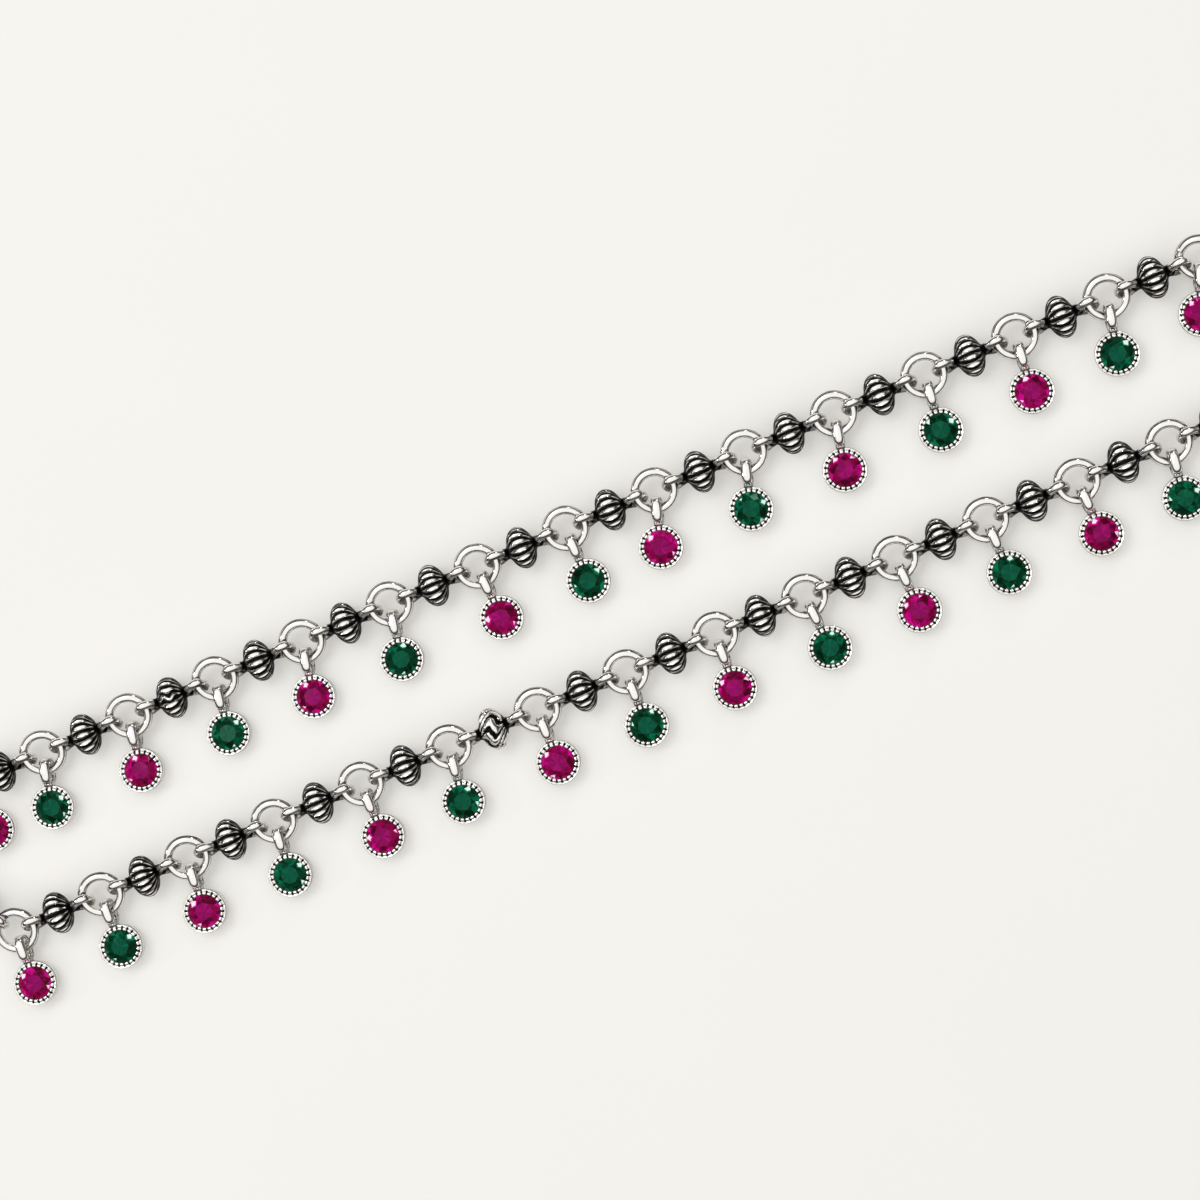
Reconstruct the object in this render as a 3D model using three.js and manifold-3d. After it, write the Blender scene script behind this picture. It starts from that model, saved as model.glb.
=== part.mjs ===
// Payal anklet: a closed silver chain of jump rings and melon beads, with a stone drop on every ring.
// Millimetres, +Z up. It lies on a surface as a long narrow loop, with its drops combed towards -Y.

import * as THREE from 'three';
import { mergeVertices } from 'three/addons/utils/BufferGeometryUtils.js';
import Module from 'manifold-3d';

const wasm = await Module();
wasm.setup();

// Jump ring
const ringDiameter = 4.25;
const ringWire = 0.75;

// Bead and its wire eyes
const beadDiameter = 3.8;
const beadLength = 2.66;
const neckDiameter = 1.2;
const eyeWire = 0.66;
const eyeClearance = 0.42;
const eyeLength = 1.77;
const eyeRoot = 0.05;
const eyeRootSpread = 0.05;

// Drop: band bail, bezel cup and stone
const bailThickness = 0.5;
const bailWidth = 0.85;
const bailClearance = 0.9;
const stoneDiameter = 2.95;
const tableDiameter = 1.55;
const crownHeight = 0.4;
const rimWidth = 0.55;
const cupHeight = 1.6;
const cupBackDiameter = 3.6;

// Clasp hook
const hookWire = 0.6;
const hookClearance = 0.5;

// How the pieces meet
const grip = 0.05;
const bailSeat = 0.04;
const bailSink = 0.08;
const wireLift = 0.05;
const looseGap = 0.25;
const stoneSink = 0.05;

// Loop: two straight runs, closed at each end by one ring set out at this angle
const ringsPerRun = 15;
const endAngle = THREE.MathUtils.degToRad(53.5);

// How far each drop lies over from -Y towards -X, in degrees, clockwise round the loop from the upper left
const upperLeans = [-18, 14, 11, 10, 12, 11, -2, 0, 17, 16, 12, 6, 6, 12, 20];
const rightLean = -50;
const lowerLeans = [5, 7, -2, -1, -2, -3, 3, 2, 2, 9, 1, 7, 6, 3, 3];
const leftLean = 50;

// Facets
const roundSides = 10;
const wireSides = 5;
const eyeSteps = 5;
const hookSteps = 18;
const stoneSides = 8;

// Derived sizes
const ringRadius = (ringDiameter - ringWire) / 2;
const wireFlat = Math.cos(Math.PI / wireSides);
const roundFlat = Math.cos(Math.PI / roundSides);
const ringInside = (ringRadius - (ringWire / 2) * wireFlat) * roundFlat;
const eyeTip = ringInside + grip - eyeWire / 2;
const looseTip = (ringRadius - ringWire / 2) * roundFlat - looseGap - eyeWire / 2;
const eyeSpan = ringWire + eyeClearance + eyeWire;
const pitch = beadLength + 2 * (eyeLength + eyeTip);
const runSpacing = 2 * pitch * Math.sin(endAngle);
const axisHeight = beadDiameter / 2;
const bailDiameter = ringWire + bailClearance + 2 * bailThickness;
const bailHeight = bailDiameter / 2;
const ringFall = axisHeight - bailHeight - wireLift;
const cupDiameter = stoneDiameter + 2 * rimWidth;

// Share of the bead's radius or of its half length, from one neck to the other
const beadProfile = [
  { radius: neckDiameter / beadDiameter, along: -1 },
  { radius: 1, along: -0.2 },
  { radius: 1, along: 0.2 },
  { radius: neckDiameter / beadDiameter, along: 1 },
];

function silver(color) {
  return new THREE.MeshStandardMaterial({ color, roughness: 0.22, metalness: 1 });
}

function stoneGlass(color) {
  return new THREE.MeshStandardMaterial({ color, roughness: 0.08, metalness: 0 });
}

// A geometry as a closed solid, moved by a matrix
function solid(geometry, matrix = new THREE.Matrix4()) {
  const bare = geometry.clone().applyMatrix4(matrix);
  bare.deleteAttribute('normal');
  bare.deleteAttribute('uv');
  const merged = mergeVertices(bare, 1e-4);
  const mesh = new wasm.Mesh({
    numProp: 3,
    vertProperties: new Float32Array(merged.attributes.position.array),
    triVerts: new Uint32Array(merged.index.array),
  });
  return new wasm.Manifold(mesh);
}

// Solids joined into one geometry
function fuse(solids) {
  const joined = solids.reduce((whole, piece) => whole.add(piece)).getMesh();
  const geometry = new THREE.BufferGeometry();
  geometry.setAttribute('position', new THREE.BufferAttribute(new Float32Array(joined.vertProperties), 3));
  geometry.setIndex(new THREE.BufferAttribute(new Uint32Array(joined.triVerts), 1));
  geometry.computeVertexNormals();
  return geometry;
}

// Round section of a wire, with a corner towards the inside of its loop
function wireSection(diameter) {
  const points = Array.from({ length: wireSides }, (_, side) => {
    const angle = Math.PI / 2 + (2 * Math.PI * side) / wireSides;
    return new THREE.Vector2(Math.cos(angle), Math.sin(angle)).multiplyScalar(diameter / 2);
  });
  return new THREE.Shape(points);
}

// Ring with a flat of its outline where each eye pulls on it
function ringGeometry() {
  const ring = new THREE.TorusGeometry(ringRadius, ringWire / 2, wireSides, roundSides);
  return ring.rotateZ(Math.PI / roundSides);
}

function beadGeometry() {
  const wall = beadProfile.map(({ radius, along }) => {
    return new THREE.Vector2((radius * beadDiameter) / 2, (along * beadLength) / 2);
  });
  const start = new THREE.Vector2(0, -beadLength / 2);
  const end = new THREE.Vector2(0, beadLength / 2);
  return new THREE.LatheGeometry([start, ...wall, end], roundSides).rotateZ(-Math.PI / 2);
}

// Wire loop in the XZ plane, from inside the bead's end out to a tip and back.
// The spread of a curve's two middle points is the square root of three times the width that it reaches.
function eyeGeometry(tip) {
  const root = beadLength / 2 - eyeRoot;
  const pull = (4 * (pitch / 2 - tip) - root) / 3;
  const spread = Math.sqrt(3) * eyeSpan;
  const path = new THREE.CubicBezierCurve3(
    new THREE.Vector3(root, 0, eyeRootSpread),
    new THREE.Vector3(pull, 0, spread),
    new THREE.Vector3(pull, 0, -spread),
    new THREE.Vector3(root, 0, -eyeRootSpread),
  );
  return new THREE.ExtrudeGeometry(wireSection(eyeWire), { steps: eyeSteps, extrudePath: path });
}

// Bead with an eye at each end, along X and centred
function connectorSolid(startTip, endTip) {
  const turned = new THREE.Matrix4().makeRotationZ(Math.PI);
  const pieces = [solid(beadGeometry()), solid(eyeGeometry(startTip), turned), solid(eyeGeometry(endTip))];
  return pieces.reduce((whole, piece) => whole.add(piece));
}

// Stations of the rings, clockwise from the upper run's left end
function loopStations() {
  const half = ((ringsPerRun - 1) / 2) * pitch;
  const reach = half + pitch * Math.cos(endAngle);
  const upper = Array.from({ length: ringsPerRun }, (_, i) => new THREE.Vector2(i * pitch - half, runSpacing / 2));
  const lower = Array.from({ length: ringsPerRun }, (_, i) => new THREE.Vector2(half - i * pitch, -runSpacing / 2));
  const upperTurns = upper.map((_, i) => upperLeans[i % upperLeans.length]);
  const lowerTurns = lower.map((_, i) => lowerLeans[i % lowerLeans.length]);
  const places = [...upper, new THREE.Vector2(reach, 0), ...lower, new THREE.Vector2(-reach, 0)];
  const leans = [...upperTurns, rightLean, ...lowerTurns, leftLean];
  return places.map((place, i) => ({ place, hang: THREE.MathUtils.degToRad(-90 - leans[i]) }));
}

// The plane of a ring: level with the chain's axis at both eyes, and lower where its drop hangs
function ringPlane(place, before, after, hang) {
  const eyeBefore = before.clone().sub(place).angle();
  const eyeAfter = after.clone().sub(place).angle();
  const rows = [eyeBefore, eyeAfter, hang].flatMap((angle) => {
    return [1, ringRadius * Math.cos(angle), ringRadius * Math.sin(angle)];
  });
  const plane = new THREE.Vector3(0, 0, -ringFall).applyMatrix3(new THREE.Matrix3().set(...rows).invert());
  return { rise: plane.x, slope: new THREE.Vector2(plane.y, plane.z) };
}

function ringMatrix(place, plane) {
  const normal = new THREE.Vector3(-plane.slope.x, -plane.slope.y, 1).normalize();
  const turn = new THREE.Quaternion().setFromUnitVectors(new THREE.Vector3(0, 0, 1), normal);
  const centre = new THREE.Vector3(place.x, place.y, axisHeight + plane.rise);
  return new THREE.Matrix4().compose(centre, turn, new THREE.Vector3(1, 1, 1));
}

// Places a piece that lies along X between two stations
function spanMatrix(from, to) {
  const middle = from.clone().add(to).multiplyScalar(0.5);
  const turn = new THREE.Matrix4().makeRotationZ(to.clone().sub(from).angle());
  return turn.setPosition(middle.x, middle.y, axisHeight);
}

// Distance in plan from a ring's centre to its wire, where the drop hangs
function wireReach(plane, hang) {
  const fall = plane.slope.x * Math.cos(hang) + plane.slope.y * Math.sin(hang);
  return ringRadius / Math.hypot(1, fall);
}

// Bail in the XZ plane, then the cup outward along X, with its flat back on the floor
function dropGeometry() {
  const band = new THREE.Shape().absarc(0, 0, bailDiameter / 2, 0, 2 * Math.PI);
  band.holes.push(new THREE.Path().absarc(0, 0, bailDiameter / 2 - bailThickness, 0, 2 * Math.PI, true));
  const bail = new THREE.ExtrudeGeometry(band, {
    depth: bailWidth,
    bevelEnabled: false,
    curveSegments: roundSides / 2,
  });
  bail.translate(0, 0, -bailWidth / 2).rotateX(Math.PI / 2).translate(0, 0, bailHeight);

  const cupOut = bailDiameter / 2 + (cupDiameter / 2) * roundFlat - bailSink;
  const cup = new THREE.CylinderGeometry(cupDiameter / 2, cupBackDiameter / 2, cupHeight, roundSides);
  cup.rotateX(Math.PI / 2).translate(cupOut, 0, cupHeight / 2);

  const crownDepth = crownHeight + stoneSink;
  const stone = new THREE.CylinderGeometry(tableDiameter / 2, stoneDiameter / 2, crownDepth, stoneSides);
  stone.rotateX(Math.PI / 2).translate(cupOut, 0, cupHeight - stoneSink + crownDepth / 2);
  return fuse([solid(bail), solid(cup), solid(stone)]);
}

// S-shaped wire in the XZ plane, along X and centred
function hookGeometry() {
  const loopRadius = (ringWire + hookClearance + hookWire) / 2;
  const hookTip = (ringRadius - ringWire / 2) * roundFlat - looseGap - hookWire / 2;
  const loopOut = pitch / 2 - hookTip - loopRadius;
  const loopTurns = [-140, -90, -45, 0, 45, 90, 140];
  const right = loopTurns.map((turn) => {
    const angle = THREE.MathUtils.degToRad(turn);
    return new THREE.Vector3(loopOut + loopRadius * Math.cos(angle), 0, loopRadius * Math.sin(angle));
  });
  const left = right.map((point) => new THREE.Vector3(-point.x, 0, -point.z)).reverse();
  const path = new THREE.CatmullRomCurve3([...right, ...left]);
  return new THREE.ExtrudeGeometry(wireSection(hookWire), { steps: hookSteps, extrudePath: path });
}

// Everything that hangs together as one chain node
function chainGeometry(ringIndexes, spans) {
  const rings = ringIndexes.map((i) => solid(ringGeometry(), ringMatrix(stations[i].place, planes[i])));
  const connectors = spans.map(({ from, startTip, endTip }) => {
    const next = (from + 1) % stations.length;
    const matrix = spanMatrix(stations[from].place, stations[next].place);
    return connectorSolid(startTip, endTip).transform(matrix.elements);
  });
  return fuse([...rings, ...connectors]);
}

function indexRange(start, count) {
  return Array.from({ length: count }, (_, i) => start + i);
}

function firmSpan(from) {
  return { from, startTip: eyeTip, endTip: eyeTip };
}

const stations = loopStations();
const planes = stations.map(({ place, hang }, i) => {
  const before = stations[(i + stations.length - 1) % stations.length].place;
  const after = stations[(i + 1) % stations.length].place;
  return ringPlane(place, before, after, hang);
});

const anklet = new THREE.Group();

function addMesh(name, geometry, material) {
  const mesh = new THREE.Mesh(geometry, material);
  mesh.name = name;
  anklet.add(mesh);
  return mesh;
}

// The upper chain ends in an eye that lies loose round the left end's ring
const rightEnd = ringsPerRun;
const leftEnd = stations.length - 1;
const upperSpans = indexRange(0, ringsPerRun).map(firmSpan);
const closingSpan = { from: leftEnd, startTip: looseTip, endTip: eyeTip };
const upperChain = chainGeometry(indexRange(0, ringsPerRun + 1), [...upperSpans, closingSpan]);
addMesh('chain_upper_run', upperChain, silver(0xd8d6d0));

const lowerSpans = indexRange(rightEnd + 1, ringsPerRun).map(firmSpan);
const lowerChain = chainGeometry(indexRange(rightEnd + 1, ringsPerRun + 1), lowerSpans);
addMesh('chain_lower_run', lowerChain, silver(0xd8d6d0));

const drop = dropGeometry();
stations.forEach(({ place, hang }, i) => {
  const material = i % 2 === 0 ? stoneGlass(0x86054a) : stoneGlass(0x0d4831);
  const mesh = addMesh(`drop_${String(i + 1).padStart(2, '0')}`, drop, material);
  const out = wireReach(planes[i], hang) + bailSeat;
  mesh.position.set(place.x + out * Math.cos(hang), place.y + out * Math.sin(hang), 0);
  mesh.rotation.z = hang;
});

const hook = addMesh('clasp_hook', hookGeometry(), silver(0xd8d6d0));
hook.applyMatrix4(spanMatrix(stations[rightEnd].place, stations[rightEnd + 1].place));

// The origin is the middle of the base
const box = new THREE.Box3().setFromObject(anklet, true);
const middle = box.getCenter(new THREE.Vector3());
anklet.position.set(-middle.x, -middle.y, -box.min.z);
anklet.updateMatrixWorld(true);

export default anklet;
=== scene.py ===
"""Payal anklet: a clasped silver chain of melon beads and jump rings, with a stone drop on every ring."""

from __future__ import annotations

import logging
import math
from dataclasses import dataclass
from enum import Enum

import bpy
import numpy as np
from mathutils import Matrix, Vector


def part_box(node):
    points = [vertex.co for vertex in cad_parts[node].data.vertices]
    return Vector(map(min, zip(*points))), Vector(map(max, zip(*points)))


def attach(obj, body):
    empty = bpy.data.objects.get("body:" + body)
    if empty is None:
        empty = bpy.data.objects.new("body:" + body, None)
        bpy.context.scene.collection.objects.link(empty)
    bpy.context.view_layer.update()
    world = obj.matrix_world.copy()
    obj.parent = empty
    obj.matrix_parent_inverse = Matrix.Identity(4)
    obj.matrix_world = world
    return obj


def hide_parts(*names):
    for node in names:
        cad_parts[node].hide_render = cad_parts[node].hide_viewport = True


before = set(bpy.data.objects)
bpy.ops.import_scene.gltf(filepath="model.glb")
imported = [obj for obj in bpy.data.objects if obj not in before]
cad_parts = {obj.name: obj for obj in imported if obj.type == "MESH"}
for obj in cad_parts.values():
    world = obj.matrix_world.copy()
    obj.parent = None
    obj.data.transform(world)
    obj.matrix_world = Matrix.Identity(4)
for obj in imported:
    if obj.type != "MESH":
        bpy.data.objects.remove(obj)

Array = np.ndarray
Colour = tuple[float, float, float]
Pair = tuple[float, float]
log = logging.getLogger("payal")
MM = 0.001
UP = np.array([0.0, 0.0, 1.0])
SIDEWAYS = np.array([0.0, 1.0, 0.0])
METAL_SLOT = "polished_silver"
# Inputs of a shader that its finish's group feeds, and the outputs that feed them.
SHADED = {"Base Color": "Color", "Roughness": "Roughness"}


class Stone(Enum):
    """The two colours of glass in the drops."""

    MAGENTA = "magenta_stone"
    GREEN = "green_stone"


class Relief(Enum):
    """How a melon bead's grooves run."""

    STRAIGHT = "straight"
    WAVY = "wavy"
    SCROLL = "scroll"


def smoothstep(low: float | Array, high: float | Array, value: Array) -> Array:
    """Rise from 0 at low to 1 at high as 3t^2 - 2t^3.

    Args:
        low: where the rise starts.
        high: where it ends.
        value: the numbers to look up.

    Returns:
        The rise for each value.
    """
    t = np.clip((value - low) / (high - low), 0.0, 1.0)
    return t * t * (3.0 - 2.0 * t)


def full_turn(count: int) -> Array:
    """Angles 2 pi i / count, evenly round a circle."""
    return np.linspace(0.0, 2 * np.pi, count, endpoint=False)


def centred(angle: Array) -> Array:
    """The same angle between -pi and pi."""
    return (angle + np.pi) % (2 * np.pi) - np.pi


def crowded(count: int, share: float) -> Array:
    """Steps u from -1 to 1 that crowd at both ends, as share * sin(pi u / 2) + (1 - share) * u."""
    even = np.linspace(-1.0, 1.0, count)
    return share * np.sin(np.pi / 2 * even) + (1.0 - share) * even


def signed_power(value: Array, power: float) -> Array:
    """|value|^power with the value's own sign."""
    return np.sign(value) * np.abs(value) ** power


@dataclass(frozen=True)
class PaintedDarkLine:
    """Soft painted dark line that outlines bright metal, standing in for dark reflections and shade."""

    strength: float
    place: float
    width: float

    def at(self, where: Array) -> Array:
        """Blackness strength * exp(-((where - place) / width)^2)."""
        return self.strength * np.exp(-(((where - self.place) / self.width) ** 2))


@dataclass
class Shell:
    """Faces and their points in millimetres, with one value a point of oxide and painted shade, and one of
    painted flash.
    """

    points: Array
    quads: Array
    tris: Array
    oxide_and_shade: Array
    flash: Array
    finish: int = 0
    smooth: bool = True

    def placed(self, matrices: Array) -> Shell:
        """Copies of the shell, one for each matrix.

        Args:
            matrices: (count, 4, 4) places.

        Returns:
            One shell with all the copies: each point p becomes R p + t.
        """
        count, size = len(matrices), len(self.points)
        turned = np.einsum("kij,nj->kni", matrices[:, :3, :3], self.points)
        points = (turned + matrices[:, None, :3, 3]).reshape(-1, 3)
        step = (np.arange(count) * size)[:, None, None]
        return Shell(
            points,
            (self.quads[None] + step).reshape(-1, 4),
            (self.tris[None] + step).reshape(-1, 3),
            np.tile(self.oxide_and_shade, count),
            np.tile(self.flash, count),
            self.finish,
            self.smooth,
        )


def carried(surface: Array, oxide_and_shade: float | Array = 0.0, ring: bool = False, finish: int = 0) -> Shell:
    """Closed skin over a grid of points, as a profile carried along a path.

    Args:
        surface: (rows, columns, 3) grid; the columns go round and close on themselves.
        oxide_and_shade: blackness of oxide and painted shade, as (rows, columns) or what spreads to it.
        ring: whether the rows also close on themselves; otherwise each end row gets a fan to its middle.
        finish: number of the finish in the piece's list.

    Returns:
        The skin, with its faces outward where the columns turn left-handed about the path.
    """
    rows, columns = surface.shape[:2]
    dark = np.broadcast_to(oxide_and_shade, (rows, columns))
    last = rows if ring else rows - 1
    row, column = np.meshgrid(np.arange(last), np.arange(columns), indexing="ij")
    above, beside = (row + 1) % rows * columns, (column + 1) % columns
    here = row * columns
    quads = np.stack([here + column, above + column, above + beside, here + beside], -1).reshape(-1, 4)
    points, shade = surface.reshape(-1, 3), dark.ravel()
    tris = np.zeros((0, 3), int)
    if not ring:
        size = rows * columns
        first = np.arange(columns)
        second = (first + 1) % columns
        start = np.stack([first, second, np.full(columns, size)], -1)
        back = size - columns
        end = np.stack([second + back, first + back, np.full(columns, size + 1)], -1)
        tris = np.concatenate([start, end])
        points = np.concatenate([points, [surface[0].mean(0), surface[-1].mean(0)]])
        shade = np.concatenate([shade, [dark[0].mean(), dark[-1].mean()]])
    return Shell(points, quads, tris, shade, np.zeros(len(points)), finish)


def outward(shell: Shell) -> Shell:
    """The shell with its faces turned outward, judged by the sign of its volume.

    Args:
        shell: a closed shell.

    Returns:
        The same shell, its faces reversed if the volume came out negative.
    """
    corners = np.concatenate([shell.quads[:, [0, 1, 2]], shell.quads[:, [0, 2, 3]], shell.tris])
    a, b, c = (shell.points[corners[:, i]] for i in range(3))
    if np.einsum("ij,ij->i", a, np.cross(b, c)).sum() < 0:
        shell.quads = shell.quads[:, ::-1]
        shell.tris = shell.tris[:, ::-1]
    return shell


def tube(
    path: Array, side: Array, radius: Array, around: int, oxide_and_shade: float | Array = 0.0, ring: bool = False
) -> Shell:
    """Round wire along a flat path.

    Args:
        path: (rows, 3) middle of the wire.
        side: unit vector square to the plane of the path.
        radius: (rows,) radius of the wire along the path.
        around: points round the wire.
        oxide_and_shade: blackness of oxide and painted shade along the path and round the wire,
            as carried takes it.
        ring: whether the path closes on itself.

    Returns:
        The wire's skin: path + radius (cos t * across + sin t * side), across being tangent x side.
    """
    if ring:
        tangent = np.roll(path, -1, 0) - np.roll(path, 1, 0)
    else:
        tangent = np.gradient(path, axis=0)
    tangent /= np.linalg.norm(tangent, axis=1, keepdims=True)
    across = np.cross(tangent, side)
    turn = full_turn(around)[None, :, None]
    wall = np.cos(turn) * across[:, None] + np.sin(turn) * side
    return outward(carried(path[:, None] + radius[:, None, None] * wall, oxide_and_shade, ring))


def build_object(name: str, shells: list[Shell], finishes: list[bpy.types.Material]) -> bpy.types.Object:
    """Puts shells into one mesh object at the origin.

    Args:
        name: name of the object and its mesh.
        shells: the parts of the piece.
        finishes: the piece's materials, in the order the shells count them.

    Returns:
        The linked object, in metres, with the point attributes oxide_and_shade, for oxide and painted
        shade, and flash, for the stones' painted facet light.
    """
    points = np.concatenate([s.points for s in shells]) * MM
    steps = np.cumsum([0] + [len(s.points) for s in shells[:-1]])
    quads = np.concatenate([s.quads + step for s, step in zip(shells, steps)])
    tris = np.concatenate([s.tris + step for s, step in zip(shells, steps)])
    corners = np.concatenate([quads.ravel(), tris.ravel()])
    starts = np.concatenate([np.arange(len(quads)) * 4, len(quads) * 4 + np.arange(len(tris)) * 3])
    counts = [len(s.quads) for s in shells] + [len(s.tris) for s in shells]
    numbers = np.repeat([s.finish for s in shells] * 2, counts)
    smooth = np.repeat([s.smooth for s in shells] * 2, counts)
    mesh = bpy.data.meshes.new(name)
    mesh.vertices.add(len(points))
    mesh.vertices.foreach_set("co", points.astype(np.float32).ravel())
    mesh.loops.add(len(corners))
    mesh.loops.foreach_set("vertex_index", corners.astype(np.int32))
    mesh.polygons.add(len(starts))
    mesh.polygons.foreach_set("loop_start", starts.astype(np.int32))
    mesh.polygons.foreach_set("material_index", numbers.astype(np.int32))
    mesh.polygons.foreach_set("use_smooth", smooth)
    for key in ("oxide_and_shade", "flash"):
        values = np.concatenate([getattr(s, key) for s in shells]).astype(np.float32)
        mesh.attributes.new(key, "FLOAT", "POINT").data.foreach_set("value", values)
    for finish in finishes:
        mesh.materials.append(finish)
    mesh.update(calc_edges=True)
    mesh.validate()
    piece = bpy.data.objects.new(name, mesh)
    bpy.context.scene.collection.objects.link(piece)
    return piece


def turned_places(places: Array, angle: Array, height: float) -> Array:
    """Matrices that turn about Z and then move.

    Args:
        places: (count, 2) places in plan.
        angle: (count,) turns in radians.
        height: height over the floor.

    Returns:
        (count, 4, 4) matrices.
    """
    matrices = np.tile(np.eye(4), (len(places), 1, 1))
    matrices[:, 0, 0] = matrices[:, 1, 1] = np.cos(angle)
    matrices[:, 1, 0] = np.sin(angle)
    matrices[:, 0, 1] = -np.sin(angle)
    matrices[:, :2, 3] = places
    matrices[:, 2, 3] = height
    return matrices


@dataclass(frozen=True)
class Layout:
    """Where the chain lies: a long narrow loop of 32 stations, in millimetres and degrees."""

    ring_diameter: float = 4.25
    ring_wire: float = 0.75
    bead_diameter: float = 3.8
    bead_length: float = 2.66
    eye_tip: float = 1.0957
    loose_tip: float = 0.7277
    pitch: float = 8.392
    end_angle: float = 53.5
    rings_per_run: int = 15
    bail_diameter: float = 2.65
    bail_seat: float = 0.04
    wire_lift: float = 0.05
    upper_leans: tuple[float, ...] = (-18, 14, 11, 10, 12, 11, -2, 0, 17, 16, 12, 6, 6, 12, 20)
    lower_leans: tuple[float, ...] = (5, 7, -2, -1, -2, -3, 3, 2, 2, 9, 1, 7, 6, 3, 3)
    right_lean: float = -50.0
    left_lean: float = 50.0

    @property
    def ring_radius(self) -> float:
        """Radius of the middle of a jump ring's wire."""
        return (self.ring_diameter - self.ring_wire) / 2

    @property
    def axis_height(self) -> float:
        """Height of the chain's axis over the floor."""
        return self.bead_diameter / 2

    def stations(self) -> Array:
        """Middle of each ring: two straight rows of rings and one ring beyond each end.

        Returns:
            (32, 2) places, clockwise from the upper run's left end and set by the hook's own place.
        """
        spacing = 2 * self.pitch * math.sin(math.radians(self.end_angle))
        row = (np.arange(self.rings_per_run) - (self.rings_per_run - 1) / 2) * self.pitch
        reach = row[-1] + self.pitch * math.cos(math.radians(self.end_angle))
        upper = np.stack([row, np.full(len(row), spacing / 2)], 1)
        lower = np.stack([row[::-1], np.full(len(row), -spacing / 2)], 1)
        places = np.concatenate([upper, [[reach, 0.0]], lower, [[-reach, 0.0]]])
        low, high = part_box("clasp_hook")
        hook = (np.array(low) + np.array(high))[:2] / 2 / MM
        right = self.rings_per_run
        return places + hook - (places[right] + places[right + 1]) / 2

    def hangs(self) -> Array:
        """Direction in which each drop lies, in radians, as (32,)."""
        leans = np.array([*self.upper_leans, self.right_lean, *self.lower_leans, self.left_lean])
        return np.radians(-90.0 - leans)

    def planes(self) -> Array:
        """Plane of each ring: level with the axis at both eyes and lower where its drop hangs.

        Returns:
            (32, 3) rise and slopes of z = rise + slope_x * x + slope_y * y about the ring's middle.
        """
        places = self.stations()
        last = np.roll(places, 1, 0) - places
        following = np.roll(places, -1, 0) - places
        eyes = [np.arctan2(way[:, 1], way[:, 0]) for way in (last, following)]
        angles = np.stack([*eyes, self.hangs()], 1)
        across = self.ring_radius * np.cos(angles)
        along = self.ring_radius * np.sin(angles)
        rows = np.stack([np.ones_like(angles), across, along], 2)
        fall = self.axis_height - self.bail_diameter / 2 - self.wire_lift
        heights = np.tile([[[0.0], [0.0], [-fall]]], (len(places), 1, 1))
        return np.linalg.solve(rows, heights)[:, :, 0]

    def ring_places(self) -> Array:
        """Places that lay a ring from the XY plane into its own plane.

        Returns:
            (32, 4, 4) matrices.
        """
        planes = self.planes()
        normal = np.stack([-planes[:, 1], -planes[:, 2], np.ones(len(planes))], 1)
        normal /= np.linalg.norm(normal, axis=1, keepdims=True)
        along = np.cross(SIDEWAYS, normal)
        along /= np.linalg.norm(along, axis=1, keepdims=True)
        matrices = np.tile(np.eye(4), (len(planes), 1, 1))
        matrices[:, :3, :3] = np.stack([along, np.cross(normal, along), normal], 2)
        matrices[:, :2, 3] = self.stations()
        matrices[:, 2, 3] = self.axis_height + planes[:, 0]
        return matrices

    def span_places(self) -> Array:
        """Places that lay a connector from the X axis between each station and the next.

        Returns:
            (32, 4, 4) matrices.
        """
        places = self.stations()
        nexts = np.roll(places, -1, 0)
        angle = np.arctan2(nexts[:, 1] - places[:, 1], nexts[:, 0] - places[:, 0])
        return turned_places((places + nexts) / 2, angle, self.axis_height)

    def drop_places(self) -> Array:
        """Places that lay a drop from the X axis under its ring.

        Returns:
            (32, 4, 4) matrices.
        """
        planes, hangs = self.planes(), self.hangs()
        fall = planes[:, 1] * np.cos(hangs) + planes[:, 2] * np.sin(hangs)
        out = self.ring_radius / np.hypot(1.0, fall) + self.bail_seat
        direction = np.stack([np.cos(hangs), np.sin(hangs)], 1)
        return turned_places(self.stations() + out[:, None] * direction, hangs, 0.0)


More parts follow.
